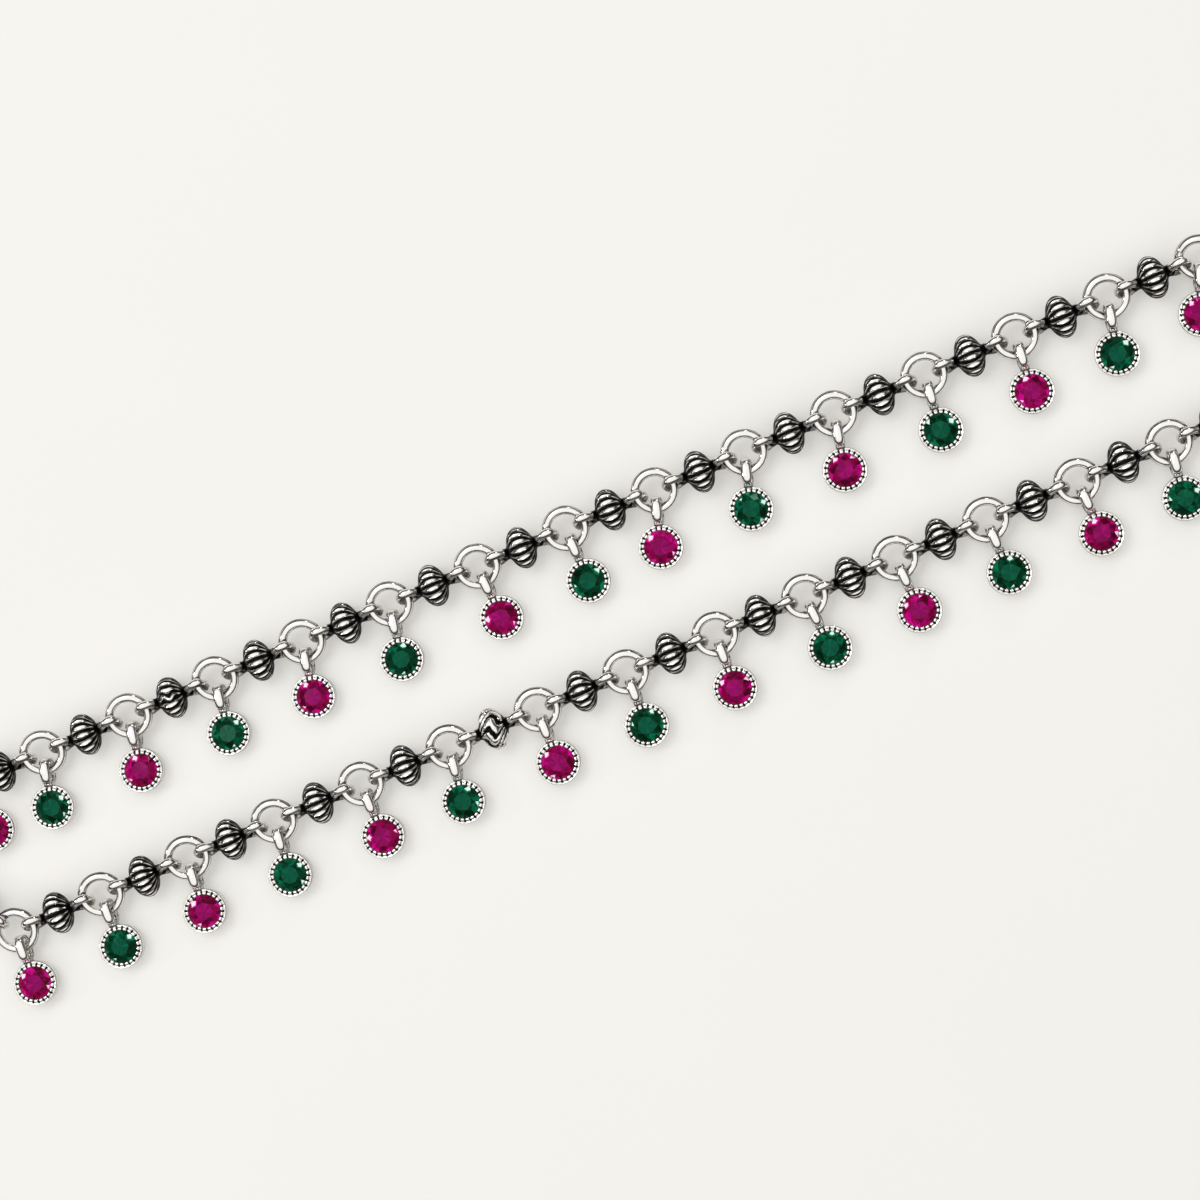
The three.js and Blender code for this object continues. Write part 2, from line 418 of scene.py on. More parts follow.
class Nodes:
    """Short way to add nodes and links to a node tree."""

    def __init__(self, tree: bpy.types.NodeTree) -> None:
        """Keeps the tree."""
        self.tree = tree

    def add(self, kind: str, inputs: dict[str | int, object], **values: object) -> bpy.types.Node:
        """A new node.

        Args:
            kind: Blender's name of the node's type.
            inputs: what feeds each of its inputs, by name or number.
            values: properties of the node.

        Returns:
            The node.
        """
        node = self.tree.nodes.new(kind)
        for key, value in values.items():
            setattr(node, key, value)
        self.feed(node.inputs, inputs)
        return node

    def feed(self, sockets: bpy.types.NodeInputs, values: dict[str | int, object]) -> None:
        """Links inputs, or sets the value of those that nothing is linked to.

        Args:
            sockets: a node's inputs.
            values: a socket, a number, a vector or a colour for each, by name or number.
        """
        for key, value in values.items():
            if isinstance(value, bpy.types.NodeSocket):
                self.tree.links.new(value, sockets[key])
            elif sockets[key].type == "RGBA":
                sockets[key].default_value = (*value, 1.0)
            else:
                sockets[key].default_value = value

    def math(self, operation: str, *values: object) -> bpy.types.NodeSocket:
        """Result of a Math node on sockets or numbers."""
        return self.add("ShaderNodeMath", dict(enumerate(values)), operation=operation).outputs[0]

    def mix(self, share: bpy.types.NodeSocket, first: object, second: object) -> bpy.types.NodeSocket:
        """A colour from the first, where the share is 0, to the second, where it is 1."""
        inputs = {"Factor": share, 6: first, 7: second}
        return self.add("ShaderNodeMix", inputs, data_type="RGBA").outputs[2]

    def rise(self, value: bpy.types.NodeSocket, reach: Pair) -> bpy.types.NodeSocket:
        """A smooth rise from 0 to 1 over a reach."""
        inputs = {"Value": value, "From Min": reach[0], "From Max": reach[1]}
        return self.add("ShaderNodeMapRange", inputs, interpolation_type="SMOOTHSTEP").outputs[0]

    def place(self) -> bpy.types.NodeSocket:
        """Object coordinates, in metres."""
        return self.add("ShaderNodeTexCoord", {}).outputs["Object"]

    def noise(self, place: bpy.types.NodeSocket, scale: float, detail: float) -> bpy.types.NodeSocket:
        """Soft noise from 0 to 1."""
        inputs = {"Vector": place, "Scale": scale, "Detail": detail}
        return self.add("ShaderNodeTexNoise", inputs).outputs[0]

    def painted(self, key: str) -> bpy.types.NodeSocket:
        """A value painted on the mesh, by its attribute's name."""
        return self.add("ShaderNodeAttribute", {}, attribute_name=key).outputs["Fac"]


def new_group(
    name: str, inputs: dict[str, str], outputs: dict[str, str]
) -> tuple[Nodes, bpy.types.NodeOutputs, bpy.types.NodeInputs]:
    """An empty shader node group with named sockets.

    Args:
        name: name of the group.
        inputs: kind of each input, by name.
        outputs: kind of each output, by name.

    Returns:
        Its nodes, what is given to it and what it gives out.
    """
    make = Nodes(bpy.data.node_groups.new(name, "ShaderNodeTree"))
    for way, sockets in (("INPUT", inputs), ("OUTPUT", outputs)):
        for key, kind in sockets.items():
            make.tree.interface.new_socket(name=key, in_out=way, socket_type=f"NodeSocket{kind}")
    return make, make.add("NodeGroupInput", {}).outputs, make.add("NodeGroupOutput", {}).inputs


def new_material(name: str) -> tuple[bpy.types.Material, Nodes, bpy.types.NodeInputs]:
    """A material with a Principled BSDF.

    Args:
        name: name of the material.

    Returns:
        The material, its nodes and its shader's inputs.
    """
    made = bpy.data.materials.new(name)
    made.use_nodes = True
    return made, Nodes(made.node_tree), made.node_tree.nodes["Principled BSDF"].inputs


@dataclass(frozen=True)
class SilverSurface:
    """Hairline scratches, haze, and blackening by oxide and painted shade, for every silver part, in one
    node group.
    """

    name: str = "Silver surface"
    cloud_scale: float = 900.0
    cloud_detail: float = 3.0
    line_scale: float = 1500.0
    line_detail: float = 2.0
    line_turn: tuple[float, float, float] = (0.3, 0.5, 0.7)
    line_stretch: tuple[float, float, float] = (0.12, 2.4, 1.0)
    raggedness: float = 0.3
    black_edge: Pair = (0.3, 0.62)
    haze_colour: Colour = (0.45, 0.42, 0.38)
    black_roughness: float = 0.3

    def group(self) -> bpy.types.NodeTree:
        """The group, built once.

        Returns:
            The group: colour, roughness and a height for the scratches, from the part's oxide and painted
                shade.
        """
        if self.name in bpy.data.node_groups:
            return bpy.data.node_groups[self.name]
        numbers = dict.fromkeys(("Oxide and shade", "Polish", "Haze", "Scratch"), "Float")
        make, given, out = new_group(
            self.name,
            {"Silver": "Color", "Black": "Color", **numbers},
            {"Color": "Color", "Roughness": "Float", "Height": "Float"},
        )
        place = make.place()
        cloud = make.noise(place, self.cloud_scale, self.cloud_detail)
        way = {"Vector": place, "Rotation": self.line_turn, "Scale": self.line_stretch}
        stretched = make.add("ShaderNodeMapping", way).outputs[0]
        lines = make.noise(stretched, self.line_scale, self.line_detail)
        ragged = make.math("MULTIPLY_ADD", cloud, self.raggedness, -self.raggedness / 2)
        # Black where the mesh's oxide and painted shade lie.
        edge = make.rise(make.math("ADD", given["Oxide and shade"], ragged), self.black_edge)
        hazed = make.mix(make.math("MULTIPLY", cloud, given["Haze"]), given["Silver"], self.haze_colour)
        rough = make.math("MULTIPLY_ADD", cloud, given["Haze"], given["Polish"])
        results = {
            "Color": make.mix(edge, hazed, given["Black"]),
            "Roughness": make.math("MULTIPLY_ADD", edge, self.black_roughness, rough),
            "Height": make.math("MULTIPLY", lines, given["Scratch"]),
        }
        make.feed(out, results)
        return make.tree


@dataclass(frozen=True)
class SilverFinish:
    """A silver finish: bright or oxidised, darkened by the oxide and painted shade on the mesh."""

    name: str
    silver: Colour = (0.8, 0.785, 0.758)
    black: Colour = (0.008, 0.0075, 0.007)
    polish: float = 0.08
    haze: float = 0.1
    scratch: float = 1.0
    bump: float = 0.12
    scratch_depth: float = 0.00004

    def material(self) -> bpy.types.Material:
        """The finish as a material.

        Returns:
            A material whose metal takes colour, roughness and scratches from the shared group.
        """
        if self.name in bpy.data.materials:
            return bpy.data.materials[self.name]
        made, make, shader = new_material(self.name)
        values = {
            "Silver": self.silver,
            "Black": self.black,
            "Oxide and shade": make.painted("oxide_and_shade"),
            "Polish": self.polish,
            "Haze": self.haze,
            "Scratch": self.scratch,
        }
        surface = make.add("ShaderNodeGroup", values, node_tree=SilverSurface().group())
        height = surface.outputs["Height"]
        depth = {"Strength": self.bump, "Distance": self.scratch_depth, "Height": height}
        bump = make.add("ShaderNodeBump", depth).outputs[0]
        dressed = {key: surface.outputs[given] for key, given in SHADED.items()}
        make.feed(shader, {"Metallic": 1.0, "Normal": bump, **dressed})
        return made


@dataclass(frozen=True)
class FacetFire:
    """What both stones' facets do with the flash painted on them, painted reflections and glints, in one
    node group.

    Grain and shine are a factor on the cells and what is added to it.
    """

    name: str = "Facet fire"
    colours: tuple[str, ...] = ("Deep", "Body", "Fire", "Table", "Spark")
    cell_scale: float = 2600.0
    grain: Pair = (0.35, -0.14)
    body_rise: Pair = (0.0, 0.45)
    fire_rise: Pair = (0.45, 0.95)
    spark_rise: Pair = (1.1, 1.35)
    table_below: float = -0.5
    shine: Pair = (0.03, 0.02)

    def group(self) -> bpy.types.NodeTree:
        """The group, built once for both colours.

        Returns:
            The group: the painted flash runs from deep shade through body to painted fire, and past 1 to a
            painted glint of spark. Below 0 it is the table, which is paler and nearly even and takes some
            fire from -1 down.
        """
        if self.name in bpy.data.node_groups:
            return bpy.data.node_groups[self.name]
        inputs = {"Flash": "Float", **dict.fromkeys(self.colours, "Color")}
        make, given, out = new_group(self.name, inputs, {"Color": "Color", "Roughness": "Float"})
        grid = {"Vector": make.place(), "Scale": self.cell_scale}
        cells = make.add("ShaderNodeTexVoronoi", grid).outputs["Distance"]
        flash = make.math("ADD", given["Flash"], make.math("MULTIPLY_ADD", cells, *self.grain))
        crown = make.mix(make.rise(flash, self.body_rise), given["Deep"], given["Body"])
        crown = make.mix(make.rise(flash, self.fire_rise), crown, given["Fire"])
        crown = make.mix(make.rise(flash, self.spark_rise), crown, given["Spark"])
        inner = make.math("MULTIPLY_ADD", given["Flash"], -1.0, -1.0)
        table = make.mix(inner, given["Table"], given["Fire"])
        is_table = make.math("LESS_THAN", given["Flash"], self.table_below)
        rough = make.math("MULTIPLY_ADD", cells, *self.shine)
        make.feed(out, {"Color": make.mix(is_table, crown, table), "Roughness": rough})
        return make.tree


@dataclass(frozen=True)
class StoneFinish:
    """Foil-backed cut glass whose light is painted: each facet takes its own share of the colour from its
    painted flash.
    """

    stone: Stone
    deep: Colour
    body: Colour
    fire: Colour
    table: Colour
    spark: Colour
    refraction: float = 1.5
    gloss: float = 0.05

    def material(self) -> bpy.types.Material:
        """The stone's material.

        Returns:
            A glossy material coloured by the facets' group.
        """
        name = f"cut_{self.stone.value}"
        if name in bpy.data.materials:
            return bpy.data.materials[name]
        made, make, shader = new_material(name)
        values = {key: getattr(self, key.lower()) for key in FacetFire.colours}
        values["Flash"] = make.painted("flash")
        facets = make.add("ShaderNodeGroup", values, node_tree=FacetFire().group())
        dressed = {key: facets.outputs[given] for key, given in SHADED.items()}
        make.feed(shader, {"IOR": self.refraction, "Specular IOR Level": self.gloss, **dressed})
        return made


BRIGHT = SilverFinish("bright_silver_finish")
OXIDISED = SilverFinish("oxidised_silver_finish", polish=0.1, haze=0.16, bump=0.2)
STONES = {
    Stone.MAGENTA: StoneFinish(
        Stone.MAGENTA,
        deep=(0.075, 0.0008, 0.016),
        body=(0.24, 0.0015, 0.06),
        fire=(0.62, 0.003, 0.27),
        table=(0.19, 0.002, 0.072),
        spark=(1.0, 0.8, 0.95),
    ),
    Stone.GREEN: StoneFinish(
        Stone.GREEN,
        deep=(0.0005, 0.012, 0.004),
        body=(0.001, 0.04, 0.017),
        fire=(0.002, 0.17, 0.08),
        table=(0.001, 0.063, 0.034),
        spark=(0.8, 1.0, 0.93),
    ),
}


@dataclass(frozen=True)
class JumpRing:
    """Round-wire ring, soldered shut."""

    diameter: float = 4.16
    wire: float = 0.78
    steps: int = 76
    around: int = 16
    seam_depth: float = 0.045
    seam_width: float = 0.05
    seam_shade: float = 0.3
    inner_line: PaintedDarkLine = PaintedDarkLine(0.6, -0.8, 0.17)
    outer_line: PaintedDarkLine = PaintedDarkLine(0.56, 0.95, 0.12)

    def shell(self, seam: float) -> Shell:
        """The ring in the XY plane.

        Args:
            seam: angle of the soldered joint, in radians.

        Returns:
            A torus whose wire narrows a hair at the joint, as 1 - depth * exp(-(angle / width)^2), with a
            painted dark reflection line along its inner side and a fainter one along its outer side.
        """
        turn = full_turn(self.steps) + seam
        path = np.stack([np.cos(turn), np.sin(turn), np.zeros_like(turn)], 1)
        path *= (self.diameter - self.wire) / 2
        dent = np.exp(-((centred(turn - seam) / self.seam_width) ** 2))
        radius = self.wire / 2 * (1.0 - self.seam_depth * dent)
        out = np.cos(full_turn(self.around))
        # Painted dark reflection lines along the wire's inner and outer sides.
        lines = self.inner_line.at(out) + self.outer_line.at(out)
        oxide_and_shade = np.maximum(self.seam_shade * dent[:, None], lines)
        return tube(path, UP, radius, self.around, oxide_and_shade, ring=True)


@dataclass(frozen=True)
class Wave:
    """Sideways wave of the few ribs that face one way, near the bead's middle."""

    amplitude: float = 0.15
    per_length: float = 5.2
    phase: float = 0.6
    facing: float = 1.45
    half_length: float = 0.95
    half_angle: float = 0.33

    def sway(self, x: Array, angle: Array) -> Array:
        """Turn of the ribs.

        Args:
            x: place along the bead.
            angle: place round the bead.

        Returns:
            a sin(k x + p) exp(-(x / l)^4 - (off / w)^2), off being the angle from where the wave faces.
        """
        off = centred(angle - self.facing)
        window = np.exp(-((x / self.half_length) ** 4) - (off / self.half_angle) ** 2)
        return self.amplitude * np.sin(x * self.per_length + self.phase) * window


@dataclass(frozen=True)
class Scroll:
    """Curled relief all over a bead."""

    curls: float = 6.0
    sway: float = 1.7
    along: float = 2.7
    twist: float = 3.0
    lean: float = 0.8
    wall: Pair = (0.75, 0.35)
    black: Pair = (0.74, 0.5)

    def curl(self, x: Array, around: Array) -> Array:
        """Distance from the curls' grooves, |sin(c t + s sin(a x + w t) + l x)| at x and the angle t."""
        bend = self.sway * np.sin(x * self.along + self.twist * around)
        return np.abs(np.sin(around * self.curls + bend + self.lean * x))


@dataclass(frozen=True)
class MelonBead:
    """Ribbed bead with black lines along it and black necks."""

    diameter: float = 3.78
    length: float = 2.66
    neck: float = 1.06
    ribs: int = 17
    across_rib: tuple[float, ...] = (0.0, 0.095, 0.195, 0.265, 0.5, 0.735, 0.805, 0.905)
    rows: int = 23
    row_crowding: float = 0.35
    end_reach: float = 0.12
    end_rounding: float = 0.16
    end_share: float = 0.2
    body_length: float = 2.46
    fullness: float = 2.0
    neck_blend: int = 6
    neck_fade: Pair = (0.32, 0.16)
    relief_start: float = 0.35
    groove_depth: float = 0.15
    line_width: float = 0.16
    line_fade: Pair = (-0.16, 0.14)
    unevenness: float = 0.05
    wave: Wave = Wave()
    scroll: Scroll = Scroll()

    def core(self, x: Array) -> Array:
        """Radius of the bead without its relief.

        Args:
            x: places along the bead.

        Returns:
            The radius r of |x / a|^f + |r / b|^f = 1, which never falls below the neck's and is rounded
            at the ends.
        """
        inside = np.clip(1.0 - np.abs(2 * x / self.body_length) ** self.fullness, 0.0, 1.0)
        body = self.diameter / 2 * inside ** (1 / self.fullness)
        blended = (body**self.neck_blend + (self.neck / 2) ** self.neck_blend) ** (1 / self.neck_blend)
        past = ((np.abs(x) - self.length / 2) / self.end_rounding).clip(0.0)
        return blended * np.sqrt(np.clip(1.0 - past**2, self.end_share, 1.0))

    def shell(self, turn: float, relief: Relief, wobble: float) -> Shell:
        """The bead along X, centred.

        Args:
            turn: turn of the ribs about the bead's axis, in radians.
            relief: how its grooves run.
            wobble: unevenness of the ribs, 0 for none.

        Returns:
            The core cut by its relief, which fades out towards the necks. A straight or wavy bead is black
            where rib is 0, and its sharp grooves, 1 - sqrt(1 - rib^2) deep, lie half way between.
        """
        x = (crowded(self.rows, self.row_crowding) * (self.length / 2 + self.end_reach))[:, None]
        core = self.core(x)
        swollen = (2 * core - self.neck) / (self.diameter - self.neck)
        points = len(self.across_rib)
        share = np.arange(points) / points if relief is Relief.SCROLL else np.array(self.across_rib)
        around = ((np.arange(self.ribs)[:, None] + share).ravel() / self.ribs * 2 * np.pi)[None]
        uneven = np.sin(around * 3.0 + turn * 5.0) + np.sin(around * 2.0 - turn * 3.0)
        angle = around + turn + wobble * self.unevenness * uneven
        if relief is Relief.WAVY:
            angle = angle + self.wave.sway(x, around + turn)
        if relief is Relief.SCROLL:
            curl = self.scroll.curl(x, around)
            lobe = smoothstep(*self.scroll.wall, curl)
            black = smoothstep(*self.scroll.black, curl)
        else:
            rib = 1.0 - np.abs(around * self.ribs / np.pi % 2.0 - 1.0)
            lobe = 1.0 - np.sqrt(1.0 - rib**2)
            wide = np.pi * core / self.ribs
            black = smoothstep(*self.line_fade, 1.0 - rib * wide / self.line_width)
        radius = core * (1.0 - self.groove_depth * smoothstep(0.0, self.relief_start, swollen) * lobe)
        surface = np.stack(np.broadcast_arrays(x, radius * np.cos(angle), radius * np.sin(angle)), 2)
        return outward(carried(surface, np.maximum(black, smoothstep(*self.neck_fade, swollen)), finish=1))


@dataclass(frozen=True)
class WireEye:
    """Loop of wire at a bead's end, which holds the next ring."""

    wire: float = 0.77
    solid_wire: float = 0.66
    span: float = 1.83
    root_depth: float = 0.05
    root_gap: float = 0.1
    roll: float = -17.0
    steps: int = 40
    crowding: float = 0.24
    around: int = 16
    neck_swell: float = 0.1
    neck_reach: float = 0.5
    neck_black: Pair = (0.5, 0.26)
    flank_line: PaintedDarkLine = PaintedDarkLine(0.56, 0.95, 0.13)

    def shell(self, layout: Layout, tip: float, end: int, side: int) -> Shell:
        """The eye on one end of a bead that lies along X.

        Args:
            layout: the chain's sizes.
            tip: distance from the ring's middle to the middle of the solid's wire at the eye's tip.
            end: 1 for the bead's far end and -1 for its near end.
            side: 1 or -1, the side that the lower strand leans to.

        Returns:
            Wire along a cubic curve out of the neck, round the ring's wire and back, rolled about the axis,
            with a painted dark reflection line along each flank.
        """
        neck = layout.bead_length / 2
        root = neck - self.root_depth
        outermost = layout.pitch / 2 - tip + (self.wire - self.solid_wire) / 2
        pull = (4 * outermost - root) / 3
        spread = math.sqrt(3) * self.span
        x = np.array([root, pull, pull, root])
        z = np.array([self.root_gap / 2, spread, -spread, -self.root_gap / 2])
        t = 0.5 + crowded(self.steps, self.crowding) / 2
        shares = np.stack([(1 - t) ** 3, 3 * (1 - t) ** 2 * t, 3 * (1 - t) * t**2, t**3], 1)
        path = np.stack([shares @ x, np.zeros(self.steps), shares @ z], 1)
        away = path[:, 0] - neck
        radius = self.wire / 2 * (1.0 + self.neck_swell * smoothstep(self.neck_reach, 0.0, away))
        # Painted dark reflection line along each flank; the black at the root is oxide.
        flank = self.flank_line.at(np.abs(np.sin(full_turn(self.around))))
        oxide_and_shade = np.maximum(smoothstep(*self.neck_black, away)[:, None], flank)
        made = tube(path, SIDEWAYS, radius, self.around, oxide_and_shade)
        turn = np.array(Matrix.Rotation(math.radians(self.roll) * end * side, 3, "X"))
        if end < 0:
            turn = np.diag([-1.0, -1.0, 1.0]) @ turn
        made.points = made.points @ turn.T
        return made


@dataclass(frozen=True)
class ChainRun:
    """One side of the chain: its rings, beads and eyes."""

    node: str
    layout: Layout
    first: int
    closing: bool
    side: int
    reliefs: dict[int, Relief]
    ring: JumpRing = JumpRing()
    bead: MelonBead = MelonBead()
    eye: WireEye = WireEye()
    seed: int = 5
    seams: Pair = (0.5, 2.6)
    turns: Pair = (0.0, 0.45)
    wobbles: Pair = (0.4, 1.0)

    def shells(self) -> list[Shell]:
        """Rings at each station and a bead with two eyes on each span.

        Returns:
            The run's shells, each in its place.
        """
        rings, spans = self.layout.ring_places(), self.layout.span_places()
        count, tip = self.layout.rings_per_run, self.layout.eye_tip
        chance = np.random.default_rng(self.first + self.seed)
        made = []
        for k in range(self.first, self.first + count + 1):
            made.append(self.ring.shell(chance.uniform(*self.seams)).placed(rings[k : k + 1]))
        near_tips = {self.first + i: tip for i in range(count)}
        if self.closing:
            near_tips[len(spans) - 1] = self.layout.loose_tip
        for k, near_tip in near_tips.items():
            relief = self.reliefs.get(k, Relief.STRAIGHT)
            bead = self.bead.shell(chance.uniform(*self.turns), relief, chance.uniform(*self.wobbles))
            near = self.eye.shell(self.layout, near_tip, -1, self.side)
            far = self.eye.shell(self.layout, tip, 1, self.side)
            made += [part.placed(spans[k : k + 1]) for part in (bead, near, far)]
        return made

    def build(self) -> bpy.types.Object:
        """The run as one piece, in place of its CAD node."""
        finishes = [BRIGHT.material(), OXIDISED.material()]
        return build_object(f"{self.node}_detailed", self.shells(), finishes)


@dataclass(frozen=True)
class Bail:
    """Half-round band that hangs from the ring."""

    diameter: float = 2.6
    thickness: float = 0.44
    inner_share: float = 0.25
    width: float = 0.9
    height: float = 1.325
    squareness: float = 0.7
    crown: float = 0.8
    shortening: float = 0.965
    shift: float = -0.045
    steps: int = 56
    around: int = 16
    side_line: PaintedDarkLine = PaintedDarkLine(0.54, 0.95, 0.12)
    foot_shade: PaintedDarkLine = PaintedDarkLine(0.47, 0.28, 0.3)

    def shell(self) -> Shell:
        """The band in the XZ plane.

        Returns:
            A half-round section round a circle drawn squarer, as |cos|^s and |sin|^s with their signs, with
            a painted dark reflection line along each side and painted shade on its foot.
        """
        turn = full_turn(self.steps)[:, None]
        section = full_turn(self.around)
        rise = np.sin(section).clip(0.0) ** self.crown
        sink = (-np.sin(section)).clip(0.0)
        inward = (1.0 - self.inner_share) * (1.0 - rise) + self.inner_share * sink
        out = self.diameter / 2 - self.thickness * inward
        x = out * signed_power(np.cos(turn), self.squareness) * self.shortening + self.shift
        z = out * signed_power(np.sin(turn), self.squareness) + self.height
        y = self.width / 2 * np.cos(section)
        surface = np.stack(np.broadcast_arrays(x, y, z), 2)
        # Painted dark reflection lines along the sides and painted shade on the band's foot.
        sides = self.side_line.at(np.abs(np.cos(section)))
        return outward(carried(surface, np.maximum(sides, self.foot_shade.at(centred(turn))), ring=True))


@dataclass(frozen=True)
class DropNeck:
    """Short flat neck between the foot of the bail and the cup."""

    reach: Pair = (0.85, 1.6)
    width: float = 0.84
    flare: float = 0.25
    flare_start: float = 0.45
    middle: float = 1.3
    top: float = 1.88
    fall: float = 0.34
    fall_start: float = 0.35
    rounding: float = 0.5
    rows: int = 9
    around: int = 20
    shade: float = 0.3
    side_shade: float = 0.16
    side_edge: Pair = (0.72, 0.95)
    line: PaintedDarkLine = PaintedDarkLine(0.2, 0.52, 0.07)

    def shell(self) -> Shell:
        """The neck along X.

        Returns:
            A rounded box, |cos|^r by |sin|^r across, that widens and sinks into the cup, with painted shade
            all over, darker on its sides, and a painted dark line where it meets the cup.
        """
        run = np.linspace(0.0, 1.0, self.rows)[:, None]
        turn = full_turn(self.around)
        x = self.reach[0] + (self.reach[1] - self.reach[0]) * run
        half = self.width / 2 + self.flare * smoothstep(self.flare_start, 1.0, run)
        top = self.top - self.fall * smoothstep(self.fall_start, 1.0, run)
        y = half * signed_power(np.cos(turn), self.rounding)
        z = self.middle + (top - self.middle) * signed_power(np.sin(turn), self.rounding)
        # Painted shade: an even darkening, more on the sides, and a dark line at the cup.
        edge = smoothstep(*self.side_edge, np.abs(np.cos(turn)) ** self.rounding)
        dark = self.shade + np.maximum(self.side_shade * edge, self.line.at(run))
        return outward(carried(np.stack(np.broadcast_arrays(x, y, z), 2), dark))


@dataclass(frozen=True)
class MilgrainCup:
    """Cup round the stone, with a beaded edge."""

    out: float = 3.171
    grains: int = 22
    across_grain: int = 8
    grain_rise: float = 0.14
    grain_seat: float = 0.95
    grain_tuck: float = 0.06
    grain_bulge: float = 0.1
    grain_side: Pair = (1.62, 1.48)
    scallop: float = 0.012
    scallop_radius: float = 1.8
    pit_edge: Pair = (0.62, 0.3)
    profile: tuple[tuple[float, float, float, float, float], ...] = (
        (1.30, 1.40, 0.0, 0.0, 0.6),
        (1.38, 1.54, 0.5, 0.4, 0.3),
        (1.44, 1.65, 1.0, 0.25, 0.0),
        (1.51, 1.72, 1.0, 0.55, 0.0),
        (1.59, 1.75, 1.0, 1.0, 0.0),
        (1.66, 1.72, 1.0, 1.0, 0.0),
        (1.73, 1.63, 0.7, 1.0, 0.3),
        (1.78, 1.62, 0.2, 0.5, 0.42),
        (1.85, 1.71, 0.0, 0.0, 0.0),
        (1.89, 1.70, 0.0, 0.0, 0.0),
        (1.93, 1.63, 0.0, 0.0, 0.46),
        (1.945, 1.50, 0.0, 0.0, 0.52),
        (1.93, 1.36, 0.0, 0.0, 0.2),
        (1.86, 0.40, 0.0, 0.0, 0.0),
        (1.80, 0.10, 0.0, 0.0, 0.0),
        (1.68, 0.0, 0.0, 0.0, 0.0),
    )

    def shell(self) -> Shell:
        """The cup, standing on its flat back.

        Returns:
            A turned profile of radius, height, grain, pit and painted shade. The grains' height and inner
            edge follow a half circle over |cos| round the rim, and the pits are black where |cos| is low.
            The painted shade darkens the seat by the stone and the groove inside the lip, and draws a dark
            reflection line round the outside of the lip.
        """
        radius, height, grain, pit, painted_shade = (column[:, None] for column in np.array(self.profile).T)
        turn = full_turn(self.grains * self.across_grain)
        lobe = np.abs(np.cos(turn * self.grains / 2))
        ball = np.sqrt(1.0 - (1.0 - lobe) ** 2)
        inner = grain * smoothstep(*self.grain_side, radius) * (self.grain_tuck - self.grain_bulge * ball)
        r = radius + inner + self.scallop * ball * (radius > self.scallop_radius)
        z = height + grain * self.grain_rise * (ball - self.grain_seat)
        surface = np.stack([self.out + r * np.cos(turn), r * np.sin(turn), z], 2)
        # Painted shade at the stone's seat and the lip's groove, and a painted dark reflection line outside
        # the lip.
        black = pit * smoothstep(*self.pit_edge, lobe)
        return outward(carried(surface, np.maximum(black, painted_shade)))


